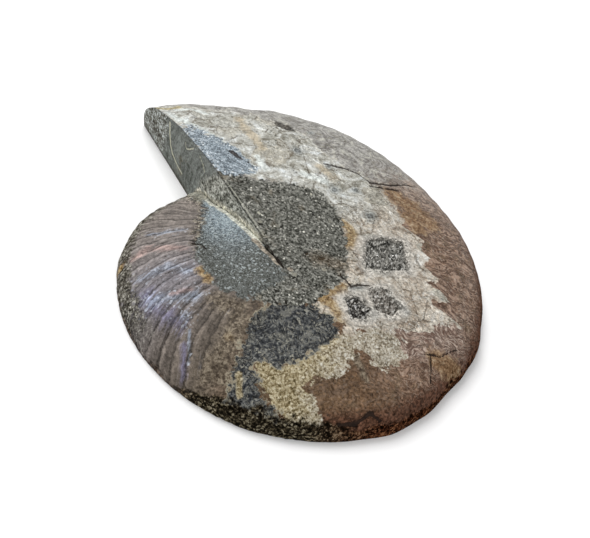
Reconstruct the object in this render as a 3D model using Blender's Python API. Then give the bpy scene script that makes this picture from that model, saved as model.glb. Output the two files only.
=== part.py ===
"""Half of a polished ammonite (Cleoniceras type), sawn along its plane of symmetry and resting on the
sawn face. Metres, +Z up, origin at the middle of the bottom of its box.

The coil is a logarithmic spiral about the coil centre. The last whorl is cut off by a vertical plane,
the aperture cut, which stands as a wall over the older part of the same whorl. The hub lies on that
cut, where the stone that fills the umbilicus has levelled the wall. Everything on the flank is laid
out along rays that run from the spiral outline to the hub. Plan points, such as the outlines of the
pockets, are measured from the coil centre.
"""

import math

import bmesh
import bpy
import numpy as np
from mathutils import Vector, geometry, noise

TAU = 2 * math.pi
MM = 0.001

# The coil
APERTURE_RADIUS = 86 * MM  # coil centre to outline where the whorl is cut off
APERTURE_ANGLE = math.radians(139.4)
EXPANSION = 1.837  # growth of the radius in one turn
THICKNESS_SHARE = 0.27  # flank height above the sawn face, per radius
SECTION_POWER = 3.0  # superellipse power of the half section: blunt venter, nearly flat flank

# The aperture cut, seen from above
CUT_OFFSET = 8.4 * MM  # how far the cut passes from the coil centre
CUT_NORMAL_ANGLE = math.radians(43.8)
HUB_ALONG_CUT = 9.9 * MM
HUB_HEIGHT = 22.5 * MM
FILL_RADIUS = 42 * MM  # reach of the umbilical fill from the hub
FILL_POWER = 1.6
WALL_UNDERCUT = 1.7 * MM  # how far the foot of the wall is broken back at the outer corner
WALL_UNDERCUT_HEIGHT = 9 * MM
WALL_FACET = 0.5 * MM  # unevenness of the broken wall

# Swellings and worn places of the outline: angle, half width, rise
OUTLINE_BUMPS = (
    (math.radians(-207), math.radians(26), -1.5 * MM),
    (math.radians(-165), math.radians(9), 0.5 * MM),
    (math.radians(-85), math.radians(16), 0.7 * MM),
    (math.radians(-43), math.radians(10), 0.9 * MM),
    (math.radians(-19), math.radians(10), -0.8 * MM),
    (math.radians(-1), math.radians(8), 0.8 * MM),
    (math.radians(50), math.radians(14), -0.6 * MM),
    (math.radians(88), math.radians(12), 0.8 * MM),
    (math.radians(120), math.radians(12), -1.2 * MM),
)

# A chip out of the rim: angle, half width, depth
CHIP = (math.radians(112.5), math.radians(5), 2.6 * MM)
CHIP_SHARE = 0.88  # the chip lies outside this share of the radius

# Ribs: sinuous, close together, clear on the left flank only
RIB_SPACING = math.radians(5.6)
RIB_HEIGHT = 0.42 * MM
RIB_LEAN = math.radians(8)  # how far a rib bends forward at the venter
RIB_LEAN_POWER = 6
RIB_START = math.radians(-206)
RIB_END = math.radians(-96)
RIB_FADE = math.radians(14)
FAINT_RIB_HEIGHT = 0.14 * MM  # the worn ribs of the rest of the whorl

# Matrix: the dark stone round the hub, worn a little below the shell
MATRIX_LEDGE = 0.45 * MM
MATRIX_EDGE = 1.2 * MM  # width of the step
MATRIX_OUTLINE = (
    (-30, 17), (-19, 23), (-11, 25), (-4, 28), (4, 28), (9, 24), (14, 16), (17, 8), (19, -1), (20, -8),
    (15, -16), (21, -26), (19, -35), (12, -43), (4, -45), (-4, -41), (-8, -28), (-20, -27), (-28, -12),
    (-31, 4), (-34, 15),
)
SWELL_HEIGHT = 0.35 * MM  # slow unevenness of the polished flank
SWELL_LENGTH = 17 * MM

# Crystal-lined pockets in the flank: corners of each outline in mm, depth
POCKETS = {
    "crystal_crust_large": (
        ((23, 13), (28, 18), (35, 19.5), (36.5, 13), (38.5, 9), (31, 3.5), (25, 1)), 2.2 * MM,
    ),
    "crystal_crust_dark": (((21.5, -15.5), (25, -13), (29.5, -15), (29, -19.5), (24.5, -21.5)), 2.1 * MM),
    "crystal_crust_grey": (((28, -7.5), (33, -4.5), (38.5, -9), (36.5, -13.5), (31.5, -14)), 2.1 * MM),
}
CRUST_GAP = 0.3 * MM
CRUST_FLOOR = 0.8 * MM  # crust thickness between its crystals
CRYSTAL_HEIGHT = (0.5 * MM, 1.0 * MM)
CRYSTAL_SPACING = 1.9 * MM

# Open pits: place in mm, length, width, depth, turn of the long side
PITS = (
    ((-15.5, 59), 8.5 * MM, 4.6 * MM, 1.3 * MM, math.radians(-14)),
    ((-22, 19.5), 3.2 * MM, 1.6 * MM, 1.2 * MM, math.radians(20)),
    ((-29.5, -8.5), 3.0 * MM, 1.2 * MM, 1.0 * MM, math.radians(-8)),
)

# Mesh density
RIBBED_COLUMN = math.radians(1.4)
PLAIN_COLUMN = math.radians(2.7)
VENTER_ROWS = 9
FLANK_ROWS = 10
FLANK_SHARE = 0.5  # share of the radius where the venter rows end and the flank rows start

CUT_NORMAL = np.array([math.cos(CUT_NORMAL_ANGLE), math.sin(CUT_NORMAL_ANGLE)])
CUT_ALONG = np.array([math.sin(CUT_NORMAL_ANGLE), -math.cos(CUT_NORMAL_ANGLE)])
HUB = -CUT_OFFSET * CUT_NORMAL + HUB_ALONG_CUT * CUT_ALONG


def smooth(value):
    """0 below 0, 1 above 1, with a smooth rise between them."""
    t = np.clip(value, 0, 1)
    return t * t * (3 - 2 * t)


def outline_radius(angle):
    """Distance of the outline from the coil centre at an angle that runs on from turn to turn."""
    radius = APERTURE_RADIUS * EXPANSION ** ((angle - APERTURE_ANGLE) / TAU)
    for centre, half_width, rise in OUTLINE_BUMPS:
        radius = radius + rise * (1 - smooth(np.abs(angle - centre) / half_width))
    return radius


def cut_angle(guess):
    """Angle near the guess where the outline meets the aperture cut."""
    angle = guess
    for _ in range(60):
        on_cut = CUT_NORMAL_ANGLE + math.acos(-CUT_OFFSET / outline_radius(angle))
        angle = on_cut + round((angle - on_cut) / TAU) * TAU
    return angle


TIP = cut_angle(APERTURE_ANGLE)  # outer end of the cut
NOTCH = cut_angle(APERTURE_ANGLE - TAU)  # where the cut leaves the older part of the whorl


def flank_height(radius, inward, hub_distance):
    """Height of the surface, a distance inward from the outline."""
    share = np.clip(inward / radius, 0, 1)
    section = (1 - (1 - share) ** SECTION_POWER) ** (1 / SECTION_POWER)
    fill = np.clip(1 - np.clip(hub_distance / FILL_RADIUS, 0, 1) ** FILL_POWER, 0, 1)
    return THICKNESS_SHARE * radius * section * (1 - fill) + HUB_HEIGHT * fill


def height_at(x, y):
    """Height of the smooth flank over a plan point."""
    angles = np.linspace(NOTCH, TIP, 1500)
    radius = outline_radius(angles)
    rim = np.stack([radius * np.cos(angles), radius * np.sin(angles)], axis=1) - HUB
    bearings = np.unwrap(np.arctan2(rim[:, 1], rim[:, 0]))
    reach = np.hypot(rim[:, 0], rim[:, 1])
    bearing = math.atan2(y - HUB[1], x - HUB[0])
    while bearing < bearings[0]:
        bearing += TAU
    hub_distance = math.hypot(x - HUB[0], y - HUB[1])
    inward = np.interp(bearing, bearings, reach) - hub_distance
    return float(flank_height(np.interp(bearing, bearings, radius), inward, hub_distance))


def distance_inside(x, y, outline):
    """Signed distance to a closed outline in mm, positive inside, for arrays of points."""
    corners = np.array(outline) * MM
    nearest = np.full(x.shape, 1.0)
    inside = np.zeros(x.shape, dtype=bool)
    for (ax, ay), (bx, by) in zip(corners, np.roll(corners, -1, axis=0)):
        along = ((x - ax) * (bx - ax) + (y - ay) * (by - ay)) / ((bx - ax) ** 2 + (by - ay) ** 2)
        along = np.clip(along, 0, 1)
        nearest = np.minimum(nearest, np.hypot(x - ax - along * (bx - ax), y - ay - along * (by - ay)))
        crosses = (ay > y) != (by > y)
        rise = np.where(by == ay, 1.0, by - ay)
        inside ^= crosses & (x < ax + (y - ay) / rise * (bx - ax))
    return np.where(inside, nearest, -nearest)


def relief(points, angles):
    """Height of ribs, swellings and the matrix ledge over the smooth surface."""
    x = points[..., 0]
    y = points[..., 1]
    polar = np.arctan2(y, x)
    polar = polar + np.round((angles[:, None] - polar) / TAU) * TAU
    share = np.clip(np.hypot(x, y) / outline_radius(polar), 0, 1)
    phase = (polar - RIB_LEAN * share ** RIB_LEAN_POWER) / RIB_SPACING
    wave = 0.5 + 0.5 * np.cos(TAU * phase)
    ribbed = smooth((polar - RIB_START) / RIB_FADE) * smooth((RIB_END - polar) / RIB_FADE)
    on_flank = smooth((share - 0.42) / 0.16) * smooth((1.0 - share) / 0.04)
    height = (FAINT_RIB_HEIGHT + (RIB_HEIGHT - FAINT_RIB_HEIGHT) * ribbed) * wave * on_flank
    centre, half_width, depth = CHIP
    across = 1 - smooth(np.abs(polar - centre) / half_width)
    height = height - depth * across * smooth((share - CHIP_SHARE) / (1 - CHIP_SHARE))
    swell = np.array([
        [noise.noise(Vector(point) / SWELL_LENGTH) for point in column] for column in points
    ])
    height = height + SWELL_HEIGHT * swell
    return height - MATRIX_LEDGE * smooth(0.5 + distance_inside(x, y, MATRIX_OUTLINE) / MATRIX_EDGE)


def column_angles():
    """Outline angles of the mesh columns, closer together where the ribs are."""
    ribbed = np.linspace(NOTCH, RIB_END, round((RIB_END - NOTCH) / RIBBED_COLUMN))
    plain = np.linspace(RIB_END, TIP, round((TIP - RIB_END) / PLAIN_COLUMN))
    return np.concatenate([ribbed, plain[1:]])


def flank_grid(angles):
    """Points of the outer surface: one column for each angle, one row for each step to the hub."""
    radius = outline_radius(angles)
    rim = np.stack([radius * np.cos(angles), radius * np.sin(angles)], axis=1)
    to_hub = HUB - rim
    reach = np.hypot(to_hub[:, 0], to_hub[:, 1])
    last_turn = math.acos((1 - FLANK_SHARE) ** (SECTION_POWER / 2))
    turn = np.linspace(0, last_turn, VENTER_ROWS + 1)
    venter = radius[:, None] * (1 - np.cos(turn) ** (2 / SECTION_POWER))
    flank_start = radius * FLANK_SHARE
    steps = np.linspace(0, 1, FLANK_ROWS + 1)[1:-1]
    flank = flank_start[:, None] + (reach - flank_start)[:, None] * steps
    inward = np.concatenate([venter, flank], axis=1)
    plan = rim[:, None, :] + (to_hub / reach[:, None])[:, None, :] * inward[..., None]
    height = flank_height(radius[:, None], inward, reach[:, None] - inward)
    return np.concatenate([plan, height[..., None]], axis=2)


def carve_relief(grid, angles):
    """Move the grid out and in by the relief, leaving the sawn edge flat and the cut plane plane."""
    along = np.gradient(grid, axis=0)
    inward = np.gradient(grid, axis=1)
    normal = np.cross(inward, along)
    normal = normal / np.linalg.norm(normal, axis=2, keepdims=True)
    normal = normal * np.sign(np.median(normal[:, -2, 2]))
    for edge in (0, -1):
        off_plane = normal[edge, :, :2] @ CUT_NORMAL
        normal[edge, :, :2] -= off_plane[:, None] * CUT_NORMAL
    normal[:, 0, 2] = 0
    return grid + normal * relief(grid, angles)[..., None]


def undercut_foot(grid):
    """Break the foot of the outer corner back from the cut plane."""
    corner = grid[-1]
    back = WALL_UNDERCUT * np.clip(1 - corner[:, 2] / WALL_UNDERCUT_HEIGHT, 0, 1)
    near_rim = np.arange(len(corner)) < VENTER_ROWS
    grid[-1, :, :2] += (back * near_rim)[:, None] * CUT_NORMAL
    return grid


def zip_rows(mesh, lower, upper, key):
    """Triangles between two rows of vertices that start at one shared vertex."""
    faces = []
    low = 0
    high = 0
    while low < len(lower) - 1 or high < len(upper) - 1:
        low_next = key(lower[low + 1]) if low < len(lower) - 1 else math.inf
        high_next = key(upper[high + 1]) if high < len(upper) - 1 else math.inf
        if high_next <= low_next:
            corners = [lower[low], upper[high], upper[high + 1]]
            high += 1
        else:
            corners = [lower[low], upper[high], lower[low + 1]]
            low += 1
        if len(set(corners)) == 3:
            faces.append(mesh.faces.new(corners))
    return faces


def break_wall(mesh, faces):
    """Give the wall the shallow facets of a broken face."""
    inner = {edge for face in faces for edge in face.edges if all(f in faces for f in edge.link_faces)}
    cut = bmesh.ops.subdivide_edges(mesh, edges=list(inner), cuts=2, use_grid_fill=True)
    added = {item for item in cut["geom_inner"] if isinstance(item, bmesh.types.BMVert)}
    for vertex in added:
        step = noise.cell(Vector((vertex.co.x, vertex.co.y, vertex.co.z)) / (7 * MM)) - 0.5
        vertex.co.x += WALL_FACET * step * CUT_NORMAL[0]
        vertex.co.y += WALL_FACET * step * CUT_NORMAL[1]


def fossil_mesh():
    """The sawn half as one closed mesh: flank and venter, aperture wall and sawn face."""
    angles = column_angles()
    grid = undercut_foot(carve_relief(flank_grid(angles), angles))
    mesh = bmesh.new()
    hub_top = mesh.verts.new((*HUB, HUB_HEIGHT))
    hub_base = mesh.verts.new((*HUB, 0))
    columns = [[mesh.verts.new(point) for point in column] for column in grid]
    for left, right in zip(columns, columns[1:]):
        for row in range(len(left) - 1):
            mesh.faces.new([left[row], right[row], right[row + 1], left[row + 1]])
        mesh.faces.new([left[-1], right[-1], hub_top])
        mesh.faces.new([right[0], left[0], hub_base])

    def from_hub(vertex):
        return math.hypot(vertex.co.x - HUB[0], vertex.co.y - HUB[1])

    lower = [hub_top, *reversed(columns[0])]
    upper = [hub_top, *reversed(columns[-1])]
    wall = zip_rows(mesh, lower, upper, from_hub)
    mesh.faces.new([columns[0][0], columns[-1][0], hub_base])
    break_wall(mesh, wall)
    bmesh.ops.triangulate(mesh, faces=mesh.faces[:])
    bmesh.ops.recalc_face_normals(mesh, faces=mesh.faces[:])
    return mesh


def pocket_mesh(outline, depth, overshoot):
    """A cutter over an outline in mm: its floor follows the flank at a depth, its top is above it."""
    mesh = bmesh.new()
    corners = [Vector(corner) * MM for corner in outline]
    middle = sum(corners, Vector((0, 0))) / len(corners)
    rings = []
    for scale in (1.0, 0.55):
        ring = [middle + (corner - middle) * scale for corner in corners]
        rings.append([mesh.verts.new((p.x, p.y, height_at(p.x, p.y) - depth)) for p in ring])
    centre = mesh.verts.new((middle.x, middle.y, height_at(middle.x, middle.y) - depth))
    top = [mesh.verts.new((p.x, p.y, height_at(p.x, p.y) + overshoot)) for p in corners]
    count = len(corners)
    for i in range(count):
        j = (i + 1) % count
        mesh.faces.new([rings[0][i], rings[0][j], rings[1][j], rings[1][i]])
        mesh.faces.new([rings[1][i], rings[1][j], centre])
        mesh.faces.new([rings[0][j], rings[0][i], top[i], top[j]])
    mesh.faces.new(top)
    bmesh.ops.triangulate(mesh, faces=mesh.faces[:])
    bmesh.ops.recalc_face_normals(mesh, faces=mesh.faces[:])
    return mesh


def pit_mesh(place, length, width, depth, turn):
    """A low ellipsoid sunk into the flank."""
    mesh = bmesh.new()
    bmesh.ops.create_icosphere(mesh, subdivisions=2, radius=1)
    x, y = place[0] * MM, place[1] * MM
    z = height_at(x, y)
    for vertex in mesh.verts:
        along = vertex.co.x * length / 2
        across = vertex.co.y * width / 2
        vertex.co = Vector((
            x + along * math.cos(turn) - across * math.sin(turn),
            y + along * math.sin(turn) + across * math.cos(turn),
            z + vertex.co.z * depth,
        ))
    return mesh


def shrunk(outline, distance):
    """The outline in mm, moved in on every side by a distance."""
    corners = [Vector(corner) * MM for corner in outline]
    middle = sum(corners, Vector((0, 0))) / len(corners)
    moved = []
    count = len(corners)
    for i in range(count):
        before = (corners[i] - corners[i - 1]).normalized()
        after = (corners[(i + 1) % count] - corners[i]).normalized()
        inward = Vector((-(before + after).y, (before + after).x)).normalized()
        if inward.dot(middle - corners[i]) < 0:
            inward = -inward
        bend = abs(before.x * inward.y - before.y * inward.x)
        moved.append(corners[i] + inward * distance / max(bend, 0.5))
    return moved


def crust_mesh(outline, depth, seed):
    """Crystal points standing close together on one thin crust over the floor of a pocket."""
    rim = shrunk(outline, CRUST_GAP)
    rng = np.random.default_rng(seed)
    edge = []
    for here, after in zip(rim, rim[1:] + rim[:1]):
        steps = max(1, round((after - here).length / CRYSTAL_SPACING))
        edge.extend(here.lerp(after, step / steps) for step in range(steps))
    low_x, high_x = min(p.x for p in rim), max(p.x for p in rim)
    low_y, high_y = min(p.y for p in rim), max(p.y for p in rim)
    rim_mm = [(p.x / MM, p.y / MM) for p in rim]
    tips = []
    valleys = []
    for i, x in enumerate(np.arange(low_x, high_x, CRYSTAL_SPACING)):
        for y in np.arange(low_y, high_y, CRYSTAL_SPACING):
            shift = rng.uniform(-0.22, 0.22, 4) * CRYSTAL_SPACING
            place = Vector((x + shift[0], y + shift[1] + (i % 2) * CRYSTAL_SPACING / 2))
            between = Vector((place.x + CRYSTAL_SPACING / 2 + shift[2], place.y + shift[3]))
            for point, group in ((place, tips), (between, valleys)):
                if distance_inside(np.array([point.x]), np.array([point.y]), rim_mm)[0] > 0.45 * MM:
                    group.append(point)
    points = edge + tips + valleys
    loop = list(range(len(edge)))
    borders = list(zip(loop, loop[1:] + loop[:1]))
    places, _, triangles, *_ = geometry.delaunay_2d_cdt(points, borders, [], 1, 1e-7)
    tip_range = range(len(edge), len(edge) + len(tips))
    mesh = bmesh.new()
    lower = []
    upper = []
    for index, place in enumerate(places):
        floor = height_at(place.x, place.y) - depth + CRUST_GAP
        rise = rng.uniform(*CRYSTAL_HEIGHT) if index in tip_range else 0
        lower.append(mesh.verts.new((place.x, place.y, floor)))
        upper.append(mesh.verts.new((place.x, place.y, floor + CRUST_FLOOR + rise)))
    for a, b, c in triangles:
        mesh.faces.new([upper[a], upper[b], upper[c]])
        mesh.faces.new([lower[c], lower[b], lower[a]])
    for a, b in borders:
        mesh.faces.new([lower[a], lower[b], upper[b]])
        mesh.faces.new([lower[a], upper[b], upper[a]])
    bmesh.ops.recalc_face_normals(mesh, faces=mesh.faces[:])
    return mesh


def material(name, colour, roughness):
    made = bpy.data.materials.new(name)
    made.use_nodes = True
    shader = made.node_tree.nodes["Principled BSDF"]
    shader.inputs["Base Color"].default_value = (*colour, 1)
    shader.inputs["Roughness"].default_value = roughness
    shader.inputs["Metallic"].default_value = 0
    return made


def add_object(name, mesh, origin, finish=None):
    """Put a mesh in the scene with the coordinates measured from the origin."""
    data = bpy.data.meshes.new(name)
    bmesh.ops.translate(mesh, verts=mesh.verts[:], vec=-origin)
    mesh.to_mesh(data)
    mesh.free()
    made = bpy.data.objects.new(name, data)
    bpy.context.scene.collection.objects.link(made)
    if finish:
        data.materials.append(finish)
    return made


def add_cutter(target, name, mesh, origin):
    """Subtract a mesh from an object and keep the cutter out of the model."""
    cutter = add_object(name, mesh, origin)
    cutter.hide_render = True
    cutter.display_type = "WIRE"
    cut = target.modifiers.new(name, "BOOLEAN")
    cut.operation = "DIFFERENCE"
    cut.solver = "EXACT"
    cut.object = cutter


def build():
    for old in list(bpy.data.objects):
        bpy.data.objects.remove(old)
    shell = material("polished_fossil", (0.30, 0.26, 0.21), 0.3)
    crystals = material("crystals", (0.36, 0.36, 0.34), 0.2)
    mesh = fossil_mesh()
    xs = [vertex.co.x for vertex in mesh.verts]
    ys = [vertex.co.y for vertex in mesh.verts]
    origin = Vector(((min(xs) + max(xs)) / 2, (min(ys) + max(ys)) / 2, 0))
    ammonite = add_object("ammonite", mesh, origin, shell)
    for seed, (name, (outline, depth)) in enumerate(POCKETS.items()):
        add_cutter(ammonite, "cut_" + name, pocket_mesh(outline, depth, 3 * MM), origin)
        add_object(name, crust_mesh(outline, depth, seed), origin, crystals)
    for number, pit in enumerate(PITS):
        add_cutter(ammonite, f"cut_pit_{number}", pit_mesh(*pit), origin)


build()
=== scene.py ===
"""Looks of the half ammonite: one dense mesh for the fossil, one crust of crystals for each hollow.

Lengths are in millimetres until a mesh is made. Plan points are measured from the centre of the coil,
and angles run on from turn to turn, from the notch of the aperture cut to its tip.
"""
import math

import bpy
import numpy as np
from mathutils import Matrix, Vector, geometry


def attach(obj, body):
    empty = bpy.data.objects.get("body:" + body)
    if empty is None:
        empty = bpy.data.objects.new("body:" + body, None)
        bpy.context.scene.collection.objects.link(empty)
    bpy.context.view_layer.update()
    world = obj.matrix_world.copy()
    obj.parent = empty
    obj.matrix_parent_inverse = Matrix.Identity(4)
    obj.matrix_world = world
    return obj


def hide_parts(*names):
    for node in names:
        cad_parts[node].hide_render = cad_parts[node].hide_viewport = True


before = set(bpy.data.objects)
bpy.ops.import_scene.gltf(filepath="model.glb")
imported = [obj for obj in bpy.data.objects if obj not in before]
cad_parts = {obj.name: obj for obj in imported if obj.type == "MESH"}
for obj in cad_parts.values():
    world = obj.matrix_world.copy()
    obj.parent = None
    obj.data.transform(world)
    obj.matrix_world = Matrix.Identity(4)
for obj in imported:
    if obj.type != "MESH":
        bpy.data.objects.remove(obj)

TAU = 2 * math.pi
MM = 0.001

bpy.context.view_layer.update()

# ---------------------------------------------------------------- shape, as the solids have it
APERTURE_RADIUS = 86.0
APERTURE_ANGLE = math.radians(139.4)
EXPANSION = 1.837
THICKNESS_SHARE = 0.27
SECTION_POWER = 3.0
CUT_OFFSET = 8.4
CUT_NORMAL_ANGLE = math.radians(43.8)
CUT_ROUNDS = 60  # rounds after which the angle of a corner of the cut has settled
HUB_ALONG_CUT = 9.9
HUB_HEIGHT = 22.5
FILL_RADIUS = 42.0
FILL_POWER = 1.6
WALL_UNDERCUT = 1.7
WALL_UNDERCUT_HEIGHT = 9.0
# Bumps of the outline: angle in degrees, half width in degrees, height
OUTLINE_BUMPS = (
    (-207, 26, -1.5), (-165, 9, 0.5), (-85, 16, 0.7), (-43, 10, 0.9), (-19, 10, -0.8), (-1, 8, 0.8),
    (50, 14, -0.6), (88, 12, 0.8), (120, 12, -1.2),
)
CHIP = (112.5, 5, 2.6)  # angle in degrees, half width in degrees, depth
CHIP_SHARE = 0.88  # share of the outline's radius where the chip starts
RIB_SPACING = 5.6  # the ribs' spacing, lean, start, end and fade are in degrees
RIB_HEIGHT = 0.42
RIB_LEAN = 8
RIB_LEAN_POWER = 6
RIB_START = -206
RIB_END = -96
RIB_FADE = 14
FAINT_RIB_HEIGHT = 0.14
MATRIX_LEDGE = 0.4
DARK_LEDGE = 0.3
CRACK_DEPTH = 0.45
FOOT_OFFSET = 0.4  # how far in front of the wall the height of the flank at its foot is taken
SEPTA_PER_TURN = 22.0
SUTURE_TURN = math.radians(5)  # direction of the sutures' long fingers on the right flank

CUT_NORMAL = np.array([math.cos(CUT_NORMAL_ANGLE), math.sin(CUT_NORMAL_ANGLE)])
CUT_ALONG = np.array([math.sin(CUT_NORMAL_ANGLE), -math.cos(CUT_NORMAL_ANGLE)])
HUB = -CUT_OFFSET * CUT_NORMAL + HUB_ALONG_CUT * CUT_ALONG

# Pockets with crystals: outline and depth
POCKETS = {
    "crystal_crust_large": (((23, 13), (28, 18), (35, 19.5), (36.5, 13), (38.5, 9), (31, 3.5), (25, 1)), 2.2),
    "crystal_crust_dark": (((21.5, -15.5), (25, -13), (29.5, -15), (29, -19.5), (24.5, -21.5)), 2.1),
    "crystal_crust_grey": (((28, -7.5), (33, -4.5), (38.5, -9), (36.5, -13.5), (31.5, -14)), 2.1),
}
# Open pits: place, length, width, depth, turn of the long side in degrees
PITS = (
    ((-15.5, 59), 8.5, 4.6, 1.3, -14),
    ((-22, 19.5), 3.2, 1.6, 1.2, 20),
    ((-29.5, -8.5), 3.0, 1.2, 1.0, -8),
)

# ---------------------------------------------------------------- patches of the flank, seen from above
PATCHES = {
    "matrix": (
        (-31, 19), (-27, 20), (-19, 23), (-11, 25), (-4, 28), (4, 28), (9, 24), (14, 16), (17, 8), (19, -1),
        (20, -8), (15, -16), (13, -22), (6, -26), (-1, -28), (-5, -27), (0, -20), (2, -15), (-4, -10),
        (-11, -4),
    ),
    "blue": (
        (-40, 24), (-31, 14), (-30, 5), (-29, -4), (-27, -15), (-23, -20), (-16, -27), (-8, -29), (2, -25),
        (5, -18), (4, -12), (-4, -4), (-15, 10), (-30, 26),
    ),
    "dark": (
        (-3, -34), (-1, -29), (4, -25), (12, -23), (19, -25), (22, -28), (22, -31), (19, -35), (16, -39),
        (12, -43), (8, -47), (4, -45), (1, -47), (4, -52), (8, -55), (14, -57), (18, -59), (12, -61),
        (2, -61), (-4, -58), (-3, -54), (-4, -50), (-4, -41),
    ),
    "tan": (
        (0, -48), (3, -46), (8, -46), (14, -40), (20, -31), (26, -27), (33, -21), (40, -19), (44, -25),
        (41, -31), (37, -33), (30, -31), (28, -35), (28, -39), (24, -43), (20, -45), (17, -48), (23, -51),
        (26, -54), (20, -58), (15, -57), (10, -55), (6, -52), (2, -50),
    ),
    "cream": (
        (-66, 54), (-45, 58), (-27, 61), (-13, 59), (-1, 52), (9, 47), (20, 44), (26, 42), (27, 37), (33, 33),
        (36, 27), (40, 24), (43, 16), (48, 8), (52, 3), (48, -2), (59, -5), (50, -10), (41, -17), (35, -21),
        (27, -29), (14, -24), (16, -10), (10, 10), (0, 26), (-26, 22), (-37, 26),
    ),
    "opal": (
        (-49, 38), (-45, 41), (-34, 38), (-28, 35), (-23, 32), (-19, 29), (-20, 24), (-27, 16), (-38, 26),
    ),
}
# Stains, each a blot on a point or a band along a line: points and half width
STAINS = {
    "gold": (
        (((28, 42), (35, 40), (42, 36)), 5.6), (((34, 34), (39, 30)), 4.2), (((54, -20), (61, -18)), 4.6),
    ),
    "buff": ((((-31, 55), (-27, 49), (-20, 41)), 3.0), (((1, 41), (6, 38)), 3.0)),
    "olive": ((((-61, 50.5), (-56, 51), (-53, 54.5)), 1.5),),
    "white": (
        (((-52, 45), (-42, 41), (-34, 37), (-27, 34), (-20, 29)), 1.6),
        (((-53, 51), (-49, 54), (-43, 53)), 1.4), (((-55, 47.5), (-50, 43)), 2.0), (((-4, 34), (4, 34)), 2.2),
        (((-20, 35), (-16, 30)), 1.8),
    ),
    "granular": ((((-2, -51), (0, -55)), 1.3),),
    "tarnish": ((((9, -4), (17, -3)), 5.0),),
    "rust": (
        (((14, 17), (18, 14), (17, 7)), 2.9), (((15, -16), (20, -12)), 3.5), (((15, -19), (22, -23)), 3.2),
        (((-23, -21), (-20, -24)), 2.7), (((2.4, -13.2),), 1.7), (((-48, -18),), 1.7), (((-8, -42),), 2.0),
    ),
    "umber": (
        (((-16, -31), (-8, -33), (-7, -42), (-10, -52)), 5.0), (((29, -34), (34, -38)), 2.0),
        (((-11, -52), (-6, -52)), 3.0),
    ),
    "grey": (
        (((8, 32),), 3.8), (((4, 43),), 2.8), (((22, 26),), 4.6), (((15, 36),), 2.6), (((-8, 46),), 4.2),
        (((-6, 61),), 2.0), (((36, -8), (41, -9)), 2.4), (((22, -11), (26, -8)), 2.2),
        (((26, -18), (31, -16)), 3.0),
    ),
    "pale": ((((42, -12), (56, -10)), 7.0), (((40, -24), (48, -20)), 3.0)),
    "pink": ((((-45, -17), (-42, -12), (-31, -13)), 2.6), (((-29, -31), (-24, -29)), 1.4)),
    "azure": (
        (((-40, -25), (-34, -21), (-27, -22)), 2.6), (((-34, -33), (-22, -31)), 3.4), (((-23, -38),), 2.6),
        (((-20, -42), (-17, -50)), 0.7), (((-44, -5), (-34, -3)), 1.6),
    ),
    "violet": ((((-37, -31), (-31, -36), (-24, -40)), 4.4), (((-20, -46), (-17, -53)), 1.3)),
    "rubble": ((((-11, -3), (-6, -7.6), (-2, -11.4)), 1.3), (((2.4, -12.4),), 1.0)),
    "speckled": ((((-18, 55), (-17, 44)), 3.6), (((0, 52),), 2.6)),
}
# Cracks: points along each, half width
CRACKS = (
    (((2, 44), (10, 46), (14, 46), (19, 43.5), (26, 47), (31, 52), (34, 54)), 0.34),
    (((19, 41.5), (25, 44), (29, 46)), 0.30),
    (((18, -7), (22, -10), (24, -8), (28, -6)), 0.30),
    (((50, -20), (55, -18), (58, -14), (60, -12)), 0.24),
    (((52, -20), (53, -24), (54, -28)), 0.24),
    (((30, -52), (35, -49.5), (38, -46), (42, -45.5)), 0.36),
    (((-29, -10), (-26, -10), (-24, -12)), 0.32),
    (((-7, -5), (-3, -9), (0.5, -12.6)), 0.28),
    (((-28.5, 33), (-25, 31.5)), 0.9),
)
# Lines on the aperture wall: distance from the hub and height along each, half width
WALL_LINES = (
    (((77, 17.2), (76.1, 13), (74.6, 9.4), (72.6, 6.8), (69, 5.2), (64.2, 4.5)), 0.24),
    (((65.6, 17.8), (65, 16.6), (64, 16.1), (62.6, 17.2), (60.2, 19.6)), 0.18),
    (((56, 20.2), (53, 18.5), (51.2, 16.5)), 0.16),
)
# Colour of the outer flank by angle (degrees): red, green, blue out of 255
FLANK_TINTS = (
    (-215, (132, 124, 117)), (-180, (136, 128, 122)), (-160, (136, 129, 126)), (-140, (126, 122, 126)),
    (-120, (114, 106, 100)), (-105, (104, 95, 85)), (-80, (102, 83, 63)), (-50, (104, 82, 62)),
    (-30, (124, 101, 84)), (0, (122, 100, 84)), (40, (126, 104, 87)), (58, (148, 134, 122)),
    (80, (160, 157, 150)), (110, (164, 161, 152)), (140, (162, 158, 142)),
)


def smooth(value):
    t = np.clip(value, 0, 1)
    return t * t * (3 - 2 * t)


def outline_radius(angle):
    radius = APERTURE_RADIUS * EXPANSION ** ((angle - APERTURE_ANGLE) / TAU)
    for centre, half_width, rise in OUTLINE_BUMPS:
        radius = radius + rise * (1 - smooth(np.abs(np.degrees(angle) - centre) / half_width))
    return radius


def cut_angle(guess):
    angle = guess
    for _ in range(CUT_ROUNDS):
        on_cut = CUT_NORMAL_ANGLE + math.acos(-CUT_OFFSET / outline_radius(angle))
        angle = on_cut + round((angle - on_cut) / TAU) * TAU
    return angle


TIP = cut_angle(APERTURE_ANGLE)
NOTCH = cut_angle(APERTURE_ANGLE - TAU)


def rim_points(angles):
    radius = outline_radius(angles)
    return np.stack([radius * np.cos(angles), radius * np.sin(angles)], axis=-1)


def flank_height(radius, inward, hub_distance):
    share = np.clip(inward / radius, 0, 1)
    section = (1 - (1 - share) ** SECTION_POWER) ** (1 / SECTION_POWER)
    fill = np.clip(1 - np.clip(hub_distance / FILL_RADIUS, 0, 1) ** FILL_POWER, 0, 1)
    return THICKNESS_SHARE * radius * section * (1 - fill) + HUB_HEIGHT * fill


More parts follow.
